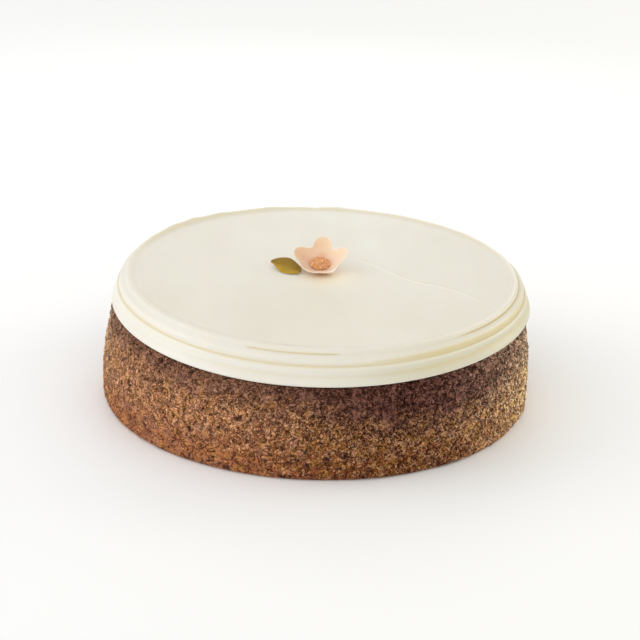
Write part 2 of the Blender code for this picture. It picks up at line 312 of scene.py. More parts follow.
def makeIcing(s, m):
    profile = icingProfile(s)
    angle = np.linspace(0, 2 * pi, s["around"], endpoint=False)[None, :]
    radius = profile[:, :1] + 0 * angle
    height = profile[:, 1:] + 0 * angle
    along = np.concatenate([[0], np.cumsum(np.hypot(*np.diff(profile, axis=0).T))])

    def fromGroove(name):
        # length along the profile from a groove, over 0 above it
        row = np.argmin(np.hypot(*(profile - np.array(s[name])).T))
        return (along - along[row])[:, None]

    hair, main, low = fromGroove("hairline"), fromGroove("mainGroove"), fromGroove("lowGroove")
    right = between(angle, s["rightSpan"], 30)
    front = between(angle, s["hairFront"], 2.5)
    shown = np.maximum(front, between(angle, s["hairRight"], 9))
    # the fine groove is filled where it doesn't show; the two upper grooves are deeper on the right
    push = (s["hairFill"] * (1 - shown) + s["hairShown"] * shown) * bell(hair, 0, 0.75)
    push = push - s["hairDeep"] * right * bell(hair, 0, 0.5)
    push = push + (s["mainFill"] - s["mainDeep"] * right) * bell(main, 0, 0.6)
    # the low groove is nearly level at the left
    push = push + s["lowFill"] * (1 - between(angle, s["lowShown"], 30)) * bell(low, 0, 1.0)
    onSide = smoothstep(44.9, 46.0, height) * smoothstep(87.0, 90.0, radius)
    # scraper lines run round the side, wandering slowly up and down
    wander = 0.5 * slowWaves(angle, 0 * angle, count=5, seed=31, reach=7)
    lines = np.sin(3.1 * (height + wander)) + 0.6 * np.sin(6.1 * (height - 0.7 * wander) + 1.3)
    wobble = s["wobble"] * slowWaves(angle, height, count=7, seed=32, reach=16)
    push = push + onSide * (s["scraperHigh"] * lines + wobble)
    radius = radius + 0.83 * push
    height = height + 0.56 * push * (radius > 89)
    # the disc comes up level with the crest at the left and the front, and is low at the back and right
    flush = 1 - np.maximum(between(angle, s["backSpan"], 50), 0.75 * between(angle, s["nearRight"], 25))
    rise = s["dishRise"] * flush * smoothstep(62, 88.5, radius)
    height = height + rise * (1 - smoothstep(89.2, 91.0, radius))
    x = s["centre"][0] + radius * np.cos(angle)
    y = s["centre"][1] + radius * np.sin(angle)
    share = np.clip((s["crest"][1] - height) / (s["crest"][1] - s["lip"][1]), 0, 1)
    lift = saddleHeight(x, y) * (0.35 + 0.65 * np.minimum(1.3 * share, 1))
    nearCrest = bell(radius, s["crest"][0], 1.6) * smoothstep(57.5, 59.3, height)
    rim = s["backLift"] * (1 + np.sin(angle)) / 2 - 0.12 * flush
    rim = rim + s["lump"] * bell(aroundOff(angle, s["lumpAngle"]), 0, s["lumpWidth"])
    for middle, width, high in s["crestLumps"]:
        rim = rim + high * bell(aroundOff(angle, radians(middle)), 0, radians(width))
    rim = rim + 0.08 * slowWaves(angle, 0 * angle, count=8, seed=33, reach=40)
    # the spatula mark is a low ridge with a shallow trough beside it
    path = m["start"] - m["fall"] * x + m["sway"] * np.sin(2 * pi * (x - m["swayFrom"]) / m["swayLength"])
    off = (y - path) * m["slant"]
    mark = bell(off, 0, m["wide"]) - 0.7 * bell(off, 2.4, 1.8)
    mark = m["high"] * mark * smoothstep(10, 22, x) * (1 - smoothstep(60, 80, x))
    mark = mark * (height > s["topFrom"])
    height = height + lift + nearCrest * rim + mark
    piece = ringSolid("icingDisc", np.stack([x, y, height], axis=-1), (*s["centre"], s["under"]),
                      (*s["centre"], s["crestFoot"][1]))
    # painted warm shade, yellow, in the grooves; at the right, which lies in shade, it spreads up the upper
    # band and over the low ones
    wide = between(angle, s["wideShadeSpan"], 42)
    yellow = np.maximum(0.75 * shown * bell(hair, 0, 0.6) * (1 + 0.3 * right), 0.62 * bell(main, 0, 0.9))
    yellow = np.maximum(yellow, 0.20 * between(angle, s["lowShadeSpan"], 30) * bell(low, 0, 0.8))
    spread = wide * (1 - smoothstep(0.5 + 1.3 * wide, 1.6 + 2.2 * wide, main)) * (main > -0.25)
    yellow = np.maximum(yellow, 0.80 * spread)
    lowBands = 0.20 * wide + 0.45 * bell(low, 0, 1.0)
    yellow = np.maximum(yellow, wide * onSide * (main < -0.9) * lowBands)
    yellow = np.maximum(yellow, 0.16 * wide * onSide)
    # painted shade, yellow, on the inner slope of the crest at the back, which faces away from the light
    behindCrest = between(angle, s["backSpan"], 30) * bell(radius, 90.1, 1.0) * (hair > 1)
    yellow = np.maximum(yellow, 0.35 * behindCrest)
    # the front of the top is a little yellower than the rest: painted shade
    onTop = height > s["topFrom"]
    yellow = np.maximum(yellow, 0.12 * smoothstep(20, -60, y) * (radius < 90) * onTop)
    paintAttribute(piece, "warmShade", yellow, [0, 0])
    # painted olive-grey shade on the low bands at the right
    paintAttribute(piece, "lowBandShade", wide * onSide * smoothstep(-0.8, -2.6, main), [0, 0])
    # a painted highlight along the crest, strongest at the right, and in front of the flower painted warm
    # light, for light through the petals, which also lightens the flower's shadow there
    paintedHighlight = (0.15 + 0.85 * right) * bell(radius, s["crest"][0] - 0.2, 0.6) * onTop
    paintAttribute(piece, "paintedHighlight", paintedHighlight, [0, 0])
    away = np.hypot(x - s["warmPlace"][0], 1.15 * (y - s["warmPlace"][1]))
    paintAttribute(piece, "warm", bell(away, 0, s["warmWide"]) * onTop, [0, 0])
    return piece


# Flower: five petals in one cupped piece that leans towards the front
flower = {
    "petals": 5, "place": (1.2, 7.0), "turn": radians(-3),
    "reach": 14.2, "depth": 6.4, "power": 1.9, "curl": 0.6, "joint": 9,
    # one value for each petal, from the back one on to the left, and for the dip that follows it
    "reaches": (1.02, 0.95, 0.69, 0.61, 0.90), "halfWidths": (4.2, 5.1, 4.85, 4.6, 5.0),
    "rises": (1.05, 0.98, 0.98, 1.18, 1.52), "dips": (10.3, 10.3, 10.5, 7.9, 9.6),
    "rimTurn": radians(-46), "rimWidth": radians(24),  # one petal has a thick rim
    "tilt": radians(16), "thickness": 1.1, "foot": 4.6, "iceTop": 59.0, "gap": 0.3,
    "stepsPerPetal": 44, "rings": 26,
}


def nearestPetal(angle, s):
    turn = 2 * pi / s["petals"]
    spot = (angle - pi / 2 - s["turn"]) / turn
    petal = np.floor(spot + 0.5).astype(int)
    off = (spot - petal) * turn
    return petal % s["petals"], off, (petal + np.where(off < 0, -1, 1)) % s["petals"]


def petalOutline(angle, s):
    # distance from the flower's middle: each petal has straight sides and a round end, a ring fills
    # the dips, and they are joined as the root of the sum of their powers, with no sharp valley
    turn = 2 * pi / s["petals"]
    total = 0
    for number, (share, half) in enumerate(zip(s["reaches"], s["halfWidths"])):
        off = np.abs(aroundOff(angle, pi / 2 + s["turn"] + number * turn))
        middle = s["reach"] * share - half
        end = middle * np.cos(off) + np.sqrt(np.maximum(half ** 2 - (middle * np.sin(off)) ** 2, 0))
        side = half / np.maximum(np.sin(off), 0.2)
        petal = np.where(off < np.arctan2(half, middle), end, side) * (off < pi / 2)
        total = total + petal ** s["joint"]
    spot = (angle - pi / 2 - s["turn"]) / turn - 0.5
    before = np.floor(spot).astype(int)
    share = smoothstep(0, 1, spot - before)
    dips = np.array(s["dips"])
    ring = dips[before % s["petals"]] * (1 - share) + dips[(before + 1) % s["petals"]] * share
    return (total + ring ** s["joint"]) ** (1 / s["joint"])


def petalHeight(radius, angle, s):
    # a bowl that rises as a power of the radius, by each petal's own rise, with curled-up sides
    petal, off, neighbour = nearestPetal(angle, s)
    rises = np.array(s["rises"])
    toValley = (off * s["petals"] / pi) ** 2
    rise = rises[petal] * (1 - toValley / 2) + rises[neighbour] * toValley / 2
    reach = radius / s["reach"]
    return s["depth"] * rise * reach ** s["power"] + s["curl"] * reach * toValley


def leanForward(points, s):
    y, z = points[..., 1].copy(), points[..., 2].copy()
    points[..., 1] = y * cos(s["tilt"]) - z * sin(s["tilt"])
    points[..., 2] = y * sin(s["tilt"]) + z * cos(s["tilt"])
    return points


def flowerLift(s):
    floor = s["iceTop"] + s["gap"] + s["thickness"] * cos(s["tilt"])
    return floor + 0.55 * s["foot"] * sin(s["tilt"])


def makeFlower(s):
    angle = np.linspace(0, 2 * pi, s["petals"] * s["stepsPerPetal"], endpoint=False)[None, :]
    angle = angle + pi / 2 + s["turn"]
    outline = petalOutline(angle, s)
    # the rings start a tenth of the way out and are closer together towards the rim
    part = (0.1 + 0.9 * np.linspace(0, 1, s["rings"]) ** 0.8)[:, None]
    inset = s["thickness"] * 0.45  # the rim is rounded over this width
    flat = part * (outline - inset)
    x, y = flat * np.cos(angle), flat * np.sin(angle)
    high = petalHeight(flat, angle, s)
    thickRim = bell(aroundOff(angle, s["rimTurn"]), 0, s["rimWidth"])
    thin = s["thickness"] * (1 + (thickRim - 0.35) * smoothstep(0.3, 1.0, part))
    above = np.stack([x, y, high], axis=-1)
    below = np.stack([x, y, high - thin], axis=-1)
    # the rounded rim: half a circle between the two faces
    turn = np.linspace(0, pi, 9)[1:-1][:, None]
    rimThin = thin[-1]
    rimFlat = outline - inset + inset * np.sin(turn)
    rimHigh = petalHeight(rimFlat, angle, s) - rimThin / 2 - rimThin / 2 * np.cos(turn)
    rim = np.stack([rimFlat * np.cos(angle), rimFlat * np.sin(angle), rimHigh], axis=-1)
    rings = leanForward(np.concatenate([below, rim, above[::-1]]), s)
    lift = flowerLift(s)
    rings[..., 2] += lift
    rings[0, :, 2] = s["iceTop"] + s["gap"]
    rings[1, :, 2] = np.minimum(rings[1, :, 2], s["iceTop"] + s["gap"] + 0.3)
    rings[..., 0] += s["place"][0]
    rings[..., 1] += s["place"][1]
    foot = (*s["place"], s["iceTop"] + s["gap"])
    piece = ringSolid("sugarFlower", rings, foot, (*s["place"], lift))
    edge = np.concatenate([flat / outline, np.full(rim.shape[:2], 1.05), (flat / outline)[::-1]])
    paintAttribute(piece, "edge", edge, [0, 0])
    # the rim is pale, and palest where it is thick, at the front right, a painted highlight on that lit rim
    pale = smoothstep(0.93, 1.04, edge) * (0.25 + 0.75 * thickRim)
    paintAttribute(piece, "paleRim", pale, [0, 0])
    paintAttribute(piece, "side", rings[..., 0] - s["place"][0], [0, 0])
    return piece


# Flower centre: coarse sugar grains on a small dome
dome = {"radius": 4.6, "height": 2.3, "gap": 0.3, "shift": (-0.6, -0.2), "around": 48, "rings": 14,
        "grains": 330, "grainSize": 0.43}


def onDome(polar, angle, s, f):
    # polar is 0 at the rim and pi/2 on top
    x = s["radius"] * np.cos(polar) * np.cos(angle) + s["shift"][0]
    y = s["radius"] * np.cos(polar) * np.sin(angle) + s["shift"][1]
    high = s["height"] * np.sin(polar) + s["gap"] + petalHeight(np.hypot(x, y), np.arctan2(y, x), f)
    points = leanForward(np.stack([x, y, high], axis=-1), f)
    return points + (*f["place"], flowerLift(f))


def makeDome(s, f):
    angle = np.linspace(0, 2 * pi, s["around"], endpoint=False)[None, :]
    polar = np.linspace(0, pi / 2, s["rings"] + 1)[:-1, None]
    rings = onDome(polar + 0 * angle, angle + 0 * polar, s, f)
    middle = np.array([[*s["shift"], s["gap"] + 0.1], [*s["shift"], s["gap"] + s["height"]]])
    ends = leanForward(middle, f)
    ends = ends + (*f["place"], flowerLift(f))
    return ringSolid("sugarDome", rings, ends[0], ends[1])


def makeGrains(s, f):
    # octahedra pushed out of true, spread over the dome by the golden angle
    draw = np.random.default_rng(51)
    number = np.arange(s["grains"])
    polar = np.arcsin((number + 0.5) / s["grains"])
    angle = number * pi * (3 - 5 ** 0.5)
    centres = onDome(polar, angle, s, f)
    corner = np.array([[1, 0, 0], [0, 1, 0], [-1, 0, 0], [0, -1, 0], [0, 0, 1], [0, 0, -1]], float)
    upper = [[0, 1, 4], [1, 2, 4], [2, 3, 4], [3, 0, 4]]
    face = np.array(upper + [[1, 0, 5], [2, 1, 5], [3, 2, 5], [0, 3, 5]])
    size = s["grainSize"] * draw.uniform(0.55, 1.15, (s["grains"], 1, 1))
    axis = draw.normal(size=(s["grains"], 3, 3))
    basis = np.linalg.qr(axis)[0]
    basis = basis * np.sign(np.linalg.det(basis))[:, None, None]
    shape = corner[None] * draw.uniform(0.75, 1.2, (s["grains"], 6, 1)) * size
    verts = centres[:, None, :] + shape @ basis
    loops = (face[None] + 6 * number[:, None, None]).ravel()
    piece = meshFromArrays("sugarGrains", verts.reshape(-1, 3), loops, np.full(8 * s["grains"], 3))
    piece.data.shade_flat()
    tint = np.repeat(draw.uniform(0, 1, s["grains"]), 6)
    attribute = piece.data.attributes.new("tint", "FLOAT", "POINT")
    attribute.data.foreach_set("value", tint.astype(np.float32))
    return piece


# Leaf
leaf = {
    "place": (0.6, 6.6), "tip": (-23.3, 3.0), "stem": (-8.9, -5.6), "width": 9.9, "thickness": 0.7,
    "roll": radians(24), "droop": 1.2, "wave": 0.1, "fold": 0.5, "nearFullness": 1.4, "farFullness": 1.0,
    "blunt": 0.36, "steps": 90, "rows": 40,
    "veins": 7, "veinDeep": 0.07, "ribDeep": 0.16,
}


def makeLeaf(s, f):
    tip, stem = np.array(s["tip"]), np.array(s["stem"])
    length = np.hypot(*(stem - tip))
    along = (stem - tip) / length
    across = np.array([-along[1], along[0]]) * (1 if along[0] > 0 else -1)
    u = (0.012 + 0.976 * np.linspace(0, 1, s["steps"]))[:, None]
    v = np.linspace(-1, 1, s["rows"] + 1)[None, :]
    # the near side is fullest close to the stem; the stem end lies low, under the flower
    fullness = np.where(v < 0, s["nearFullness"], s["farFullness"])
    half = s["width"] / 2 * np.sin(pi * u ** fullness) ** (0.75 - s["blunt"] * smoothstep(0.5, 0.95, u))
    side = half * v
    rise = side * sin(s["roll"]) + s["fold"] * np.abs(v) ** 1.4
    rise = rise + s["wave"] * np.sin(3 * pi * u) * v ** 2
    ground = rise * (1 - 0.5 * smoothstep(0.45, 1.0, u)) - s["droop"] * smoothstep(0.35, 1.05, u)
    # thinner towards the edge, so that the rim is rounded
    thin = s["thickness"] * np.sqrt(np.clip(1 - v ** 6, 0.0, 1)) + 0 * u
    ground = ground - (ground - thin / 2).min() + f["iceTop"] + f["gap"]
    rib = s["ribDeep"] * bell(side, 0, 0.22)
    vein = s["veinDeep"] * np.cos(2 * pi * s["veins"] * (u - 0.32 * np.abs(v))) ** 8 * (1 - v ** 4)
    x = s["place"][0] + tip[0] + along[0] * length * u + across[0] * side * cos(s["roll"])
    y = s["place"][1] + tip[1] + along[1] * length * u + across[1] * side * cos(s["roll"])
    above = np.stack([x, y, ground + thin / 2 - rib - vein], axis=-1)
    below = np.stack([x, y, ground - thin / 2], axis=-1)
    rings = np.concatenate([above, below[:, ::-1]], axis=1)[:, ::-1]
    piece = ringSolid("sugarLeaf", rings, rings[0].mean(axis=0), rings[-1].mean(axis=0))
    nearEdge = np.concatenate([v, v[:, ::-1]], axis=1)[:, ::-1] + 0 * u
    paintAttribute(piece, "across", nearEdge, [0, 0])
    return piece


# Shader node groups: each gives values that change over the surface
def newGroup(name, inputs, outputs):
    # every group reads a vector and some values, given here with their defaults
    tree = bpy.data.node_groups.new(name, "ShaderNodeTree")
    tree.interface.new_socket("Vector", in_out="INPUT", socket_type="NodeSocketVector")
    for label, value in inputs.items():
        socket = tree.interface.new_socket(label, in_out="INPUT", socket_type="NodeSocketFloat")
        socket.default_value = value
    for label in outputs:
        tree.interface.new_socket(label, in_out="OUTPUT", socket_type="NodeSocketFloat")
    return tree, tree.nodes.new("NodeGroupInput"), tree.nodes.new("NodeGroupOutput")


def node(tree, kind, **values):
    made = tree.nodes.new(kind)
    for name, value in values.items():
        setattr(made, name, value)
    return made


def calc(tree, operation, first, second=0.0, third=0.0):
    made = node(tree, "ShaderNodeMath", operation=operation)
    for number, value in enumerate((first, second, third)):
        if isinstance(value, bpy.types.NodeSocket):
            tree.links.new(value, made.inputs[number])
        else:
            made.inputs[number].default_value = value
    return made.outputs[0]


def times(tree, first, second):
    return calc(tree, "MULTIPLY", first, second)


def inverse(tree, value):
    # 1 less the value
    return calc(tree, "SUBTRACT", 1.0, value)


def mottleGroup():
    # slow noise stretched to run from 0 to 1
    tree, read, give = newGroup("mottle", {"Scale": 40.0, "Low": 0.35, "High": 0.65}, ["Value"])
    noise = tree.nodes.new("ShaderNodeTexNoise")
    noise.inputs["Detail"].default_value = 3.0
    spread = tree.nodes.new("ShaderNodeMapRange")
    link = tree.links.new
    link(read.outputs["Vector"], noise.inputs["Vector"])
    link(read.outputs["Scale"], noise.inputs["Scale"])
    link(noise.outputs["Fac"], spread.inputs["Value"])
    link(read.outputs["Low"], spread.inputs["From Min"])
    link(read.outputs["High"], spread.inputs["From Max"])
    link(spread.outputs["Result"], give.inputs["Value"])
    return tree


def grainGroup():
    # uneven cells with a random value each, and a mask that is 0 along their edges
    tree, read, give = newGroup("grain", {"Scale": 800.0, "Gap": 0.3, "Push": 0.001}, ["Cell", "Open"])
    noise = tree.nodes.new("ShaderNodeTexNoise")
    noise.inputs["Detail"].default_value = 2.0
    shift = node(tree, "ShaderNodeVectorMath", operation="SUBTRACT")
    shift.inputs[1].default_value = (0.5, 0.5, 0.5)
    pushed = node(tree, "ShaderNodeVectorMath", operation="MULTIPLY_ADD")
    cells = tree.nodes.new("ShaderNodeTexVoronoi")
    gaps = tree.nodes.new("ShaderNodeTexVoronoi")
    gaps.feature = "DISTANCE_TO_EDGE"
    split = tree.nodes.new("ShaderNodeSeparateColor")
    edge = tree.nodes.new("ShaderNodeMapRange")
    link = tree.links.new
    link(read.outputs["Vector"], noise.inputs["Vector"])
    link(read.outputs["Scale"], noise.inputs["Scale"])
    link(noise.outputs["Color"], shift.inputs[0])
    link(shift.outputs["Vector"], pushed.inputs[0])
    link(read.outputs["Push"], pushed.inputs[1])
    link(read.outputs["Vector"], pushed.inputs[2])
    for texture in (cells, gaps):
        link(pushed.outputs["Vector"], texture.inputs["Vector"])
        link(read.outputs["Scale"], texture.inputs["Scale"])
    link(cells.outputs["Color"], split.inputs["Color"])
    link(gaps.outputs["Distance"], edge.inputs["Value"])
    link(read.outputs["Gap"], edge.inputs["From Max"])
    link(split.outputs["Red"], give.inputs["Cell"])
    link(edge.outputs["Result"], give.inputs["Open"])
    return tree


def wrinkleGroup():
    # winding grains: a two-tone value, and a mask that is 0 along thin winding creases
    tree, read, give = newGroup("wrinkle", {"Scale": 800.0, "Soft": 0.08, "Thin": 0.05}, ["Tone", "Open"])
    noise = tree.nodes.new("ShaderNodeTexNoise")
    noise.inputs["Detail"].default_value = 1.0
    noise.inputs["Distortion"].default_value = 0.8
    link = tree.links.new
    link(read.outputs["Vector"], noise.inputs["Vector"])
    link(read.outputs["Scale"], noise.inputs["Scale"])
    off = calc(tree, "SUBTRACT", noise.outputs["Fac"], 0.5)
    tone = calc(tree, "DIVIDE", off, times(tree, read.outputs["Soft"], 2.0))
    tone = calc(tree, "ADD", tone, 0.5)
    link(calc(tree, "MINIMUM", calc(tree, "MAXIMUM", tone, 0.0), 1.0), give.inputs["Tone"])
    line = calc(tree, "DIVIDE", calc(tree, "ABSOLUTE", off), read.outputs["Thin"])
    link(calc(tree, "MINIMUM", line, 1.0), give.inputs["Open"])
    return tree


def newMaterial(name, values):
    material = bpy.data.materials.new(name)
    material.use_nodes = True
    shader = material.node_tree.nodes["Principled BSDF"]
    for socket, value in values.items():
        shader.inputs[socket].default_value = value
    return material, material.node_tree, shader


def useGroup(tree, group, coords, **values):
    made = node(tree, "ShaderNodeGroup", node_tree=group)
    tree.links.new(coords, made.inputs["Vector"])
    for name, value in values.items():
        made.inputs[name].default_value = value
    return made


def objectCoords(tree, scale=(1, 1, 1)):
    coords = node(tree, "ShaderNodeTexCoord")
    mapping = node(tree, "ShaderNodeMapping")
    mapping.inputs["Scale"].default_value = scale
    tree.links.new(coords.outputs["Object"], mapping.inputs["Vector"])
    return mapping.outputs["Vector"]


def mixColours(tree, share, first, second, mode="MIX"):
    # first and second are colours or sockets
    mix = node(tree, "ShaderNodeMix", data_type="RGBA", blend_type=mode)
    for socket, value in ((0, share), (6, first), (7, second)):
        if isinstance(value, bpy.types.NodeSocket):
            tree.links.new(value, mix.inputs[socket])
        else:
            mix.inputs[socket].default_value = value if socket == 0 else (*value, 1)
    return mix.outputs[2]


def stretch(tree, value, low, high, outLow=0.0, outHigh=1.0):
    made = node(tree, "ShaderNodeMapRange")
    tree.links.new(value, made.inputs["Value"])
    for label, number in (("From Min", low), ("From Max", high), ("To Min", outLow), ("To Max", outHigh)):
        made.inputs[label].default_value = number
    return made.outputs["Result"]


def readAttribute(tree, name):
    return node(tree, "ShaderNodeAttribute", attribute_name=name).outputs["Fac"]


def bump(tree, shader, height, strength, distance):
    made = node(tree, "ShaderNodeBump")
    made.inputs["Strength"].default_value = strength
    made.inputs["Distance"].default_value = distance
    tree.links.new(height, made.inputs["Height"])
    tree.links.new(made.outputs["Normal"], shader.inputs["Normal"])


crumbLook = {
    # the warm crust from its creases to its lightest grains, then the plum crust under the icing
    "crease": (0.020, 0.0010, 0.0002), "brown": (0.390, 0.066, 0.003), "grain": (1.000, 0.575, 0.300),
    "plumCrease": (0.008, 0.001, 0.000), "plum": (0.062, 0.011, 0.006), "plumGrain": (0.370, 0.155, 0.120),
    # patch, spot and golden are the crust's own colours; the pale and olive side colours, the glint and the
    # tint at the right are painted sheen, glints and light on the lit sides
    "patch": (0.360, 0.160, 0.135), "spot": (0.020, 0.013, 0.015), "sideSheen": (0.680, 0.380, 0.215),
    "olive": (0.560, 0.435, 0.245), "glint": (1.000, 0.870, 0.620),
    "golden": (0.640, 0.275, 0.050), "rightSheenTint": (0.98, 1.12, 1.16),
    # heights over which the plum crust comes in, and how far its edge is moved, in mm
    "topBand": (29.0, 41.0), "edgeWave": 3.0, "sideLift": 2.5, "rightDrop": 8.5, "dropWide": 50.0,
    # what the tone is made of, where it is dark, middling and light, and its contrast at two heights
    # in mm and at other places
    "patchShare": 0.20, "grainShare": 0.50, "threadShare": 0.58, "cellShare": 0.16, "toneMiddle": 0.46,
    "ramp": (0.10, 0.43, 0.80), "contrast": (0.95, 1.80), "contrastBand": (8.0, 22.0),
    "rightGain": 0.45, "topGain": 0.40, "leftGain": -0.75,
}


def plumCrust(tree, look, spot, waves, paintedSideLight, paintedRightSheen):
    # 1 under the icing; the uneven lower edge is higher on the pale sides and lower right of the middle
    edge = spot.outputs["Z"]
    for wave in waves:
        edge = calc(tree, "MULTIPLY_ADD", wave, look["edgeWave"] * mm, edge)
    for side in (paintedSideLight, paintedRightSheen):
        edge = calc(tree, "MULTIPLY_ADD", side, -look["sideLift"] * mm, edge)
    toRight = stretch(tree, spot.outputs["X"], 0.0, look["dropWide"] * mm)
    edge = calc(tree, "MULTIPLY_ADD", toRight, look["rightDrop"] * mm, edge)
    low, high = (value * mm for value in look["topBand"])
    weaker = calc(tree, "MULTIPLY_ADD", paintedSideLight, -0.12, 1.0)
    return times(tree, stretch(tree, edge, low, high), weaker)


def crumbTone(tree, look, spot, parts, nearTop, paintedSideLight, paintedRightSheen):
    # from dark creases to light grains: the shares of each part summed, then moved away from a
    # middle by the contrast, which is more higher up, at the right and under the icing, less at the left
    tone = -look["patchShare"]
    for value, name in zip(parts, ("patchShare", "grainShare", "threadShare", "cellShare")):
        tone = calc(tree, "MULTIPLY_ADD", value, look[name], tone)
    leftSide = times(tree, paintedSideLight, inverse(tree, paintedRightSheen))
    low, high = (value * mm for value in look["contrastBand"])
    contrast = stretch(tree, spot.outputs["Z"], low, high, *look["contrast"])
    for where, name in ((paintedRightSheen, "rightGain"), (nearTop, "topGain"), (leftSide, "leftGain")):
        contrast = calc(tree, "MULTIPLY_ADD", where, look[name], contrast)
    off = calc(tree, "SUBTRACT", tone, look["toneMiddle"])
    return calc(tree, "MULTIPLY_ADD", off, contrast, look["toneMiddle"])


def crumbMaterial(look, mottle, grain, wrinkle):
    material, tree, shader = newMaterial("bakedCrumb", {"Specular IOR Level": 0.03, "Roughness": 0.55})
    coords = objectCoords(tree)
    slow = useGroup(tree, mottle, coords, Scale=30.0, Low=0.38, High=0.62).outputs["Value"]
    middle = useGroup(tree, mottle, coords, Scale=210.0, Low=0.36, High=0.64).outputs["Value"]
    fine = useGroup(tree, grain, coords, Scale=1050.0, Gap=0.16, Push=0.0010)
    large = useGroup(tree, wrinkle, coords, Scale=330.0, Soft=0.10, Thin=0.060)
    small = useGroup(tree, wrinkle, coords, Scale=720.0, Soft=0.05, Thin=0.175)
    tiny = useGroup(tree, wrinkle, coords, Scale=1200.0, Soft=0.05, Thin=0.170)
    paintedSideLight, paintedRightSheen = readAttribute(tree, "paintedSideLight"), readAttribute(tree, "paintedRightSheen")
    spot = node(tree, "ShaderNodeSeparateXYZ")
    tree.links.new(coords, spot.inputs["Vector"])
    nearTop = plumCrust(tree, look, spot, (slow, middle), paintedSideLight, paintedRightSheen)
    threads = inverse(tree, tiny.outputs["Open"])
    parts = (large.outputs["Tone"], small.outputs["Open"], threads, fine.outputs["Cell"])
    tone = crumbTone(tree, look, spot, parts, nearTop, paintedSideLight, paintedRightSheen)
    # each crust goes from its crease colour through its middle one to its grain colour
    dark, mid, light = look["ramp"]
    lower, upper = stretch(tree, tone, dark, mid), stretch(tree, tone, mid, light)
    warm = mixColours(tree, upper, mixColours(tree, lower, look["crease"], look["brown"]), look["grain"])
    dim = mixColours(tree, lower, look["plumCrease"], look["plum"])
    dim = mixColours(tree, upper, dim, look["plumGrain"])
    body = mixColours(tree, nearTop, warm, dim)
    # smooth mauve patches, plum ones and, lower down, golden ones
    body = mixColours(tree, times(tree, readAttribute(tree, "patch"), 0.32), body, look["patch"])
    body = mixColours(tree, stretch(tree, middle, 0.60, 0.95, 0.0, 0.48), body, dim)
    golden = times(tree, stretch(tree, middle, 0.46, 0.10, 0.0, 0.60), lower)
    golden = times(tree, golden, inverse(tree, nearTop))
    body = mixColours(tree, golden, body, look["golden"])
    # painted sheen: paler at two sides, with painted glints on one of them
    sideSheen = mixColours(tree, paintedRightSheen, look["sideSheen"], look["olive"])
    sheenShare = times(tree, paintedSideLight, calc(tree, "MULTIPLY_ADD", paintedRightSheen, -0.08, 0.28))
    body = mixColours(tree, sheenShare, body, sideSheen)
    lit = times(tree, small.outputs["Tone"], stretch(tree, fine.outputs["Cell"], 0.5, 0.9))
    lit = times(tree, lit, times(tree, paintedRightSheen, 0.50))
    body = mixColours(tree, lit, body, look["glint"])
    body = mixColours(tree, paintedRightSheen, body, look["rightSheenTint"], "MULTIPLY")
    # dark marks over the rest: creases and pores, dark partly in their own colour and partly as painted
    # shade in these hollows, and spots
    creases = inverse(tree, large.outputs["Open"])
    body = mixColours(tree, times(tree, creases, 0.9), body, look["crease"])
    for name, share, colour in (("crease", 0.35, "crease"), ("spot", 0.9, "spot"), ("pore", 0.6, "crease")):
        mark = times(tree, readAttribute(tree, name), share)
        body = mixColours(tree, mark, body, look[colour])
    # painted light: brighter at the two lit sides, most of all the painted glints at the right
    lighter = times(tree, paintedSideLight, calc(tree, "MULTIPLY_ADD", nearTop, -0.4, 1.0))
    lighter = calc(tree, "MULTIPLY_ADD", lighter, 0.59, 0.91)
    lighter = calc(tree, "MULTIPLY_ADD", paintedRightSheen, 0.46, lighter)
    deeper = times(tree, calc(tree, "SUBTRACT", tone, 0.45), paintedRightSheen)
    gain = node(tree, "ShaderNodeVectorMath", operation="SCALE")
    tree.links.new(body, gain.inputs[0])
    tree.links.new(calc(tree, "MAXIMUM", calc(tree, "ADD", lighter, deeper), 0.1), gain.inputs["Scale"])
    tree.links.new(gain.outputs["Vector"], shader.inputs["Base Color"])
    height = calc(tree, "SUBTRACT", fine.outputs["Open"], small.outputs["Open"])
    bump(tree, shader, calc(tree, "ADD", height, large.outputs["Open"]), 0.9, 0.0005)
    return material


icingLook = {
    # ivory, pale and cream are the icing's own colours; the others are painted: warm shade, olive-grey
    # shade, a highlight and warm light
    "ivory": (0.755, 0.722, 0.640), "pale": (0.785, 0.760, 0.690), "cream": (0.745, 0.705, 0.590),
    "warmShade": (0.680, 0.560, 0.285), "paintedHighlight": (0.900, 0.875, 0.810), "warm": (0.930, 0.800, 0.600),
    "lowBandShade": (0.500, 0.500, 0.375),
}


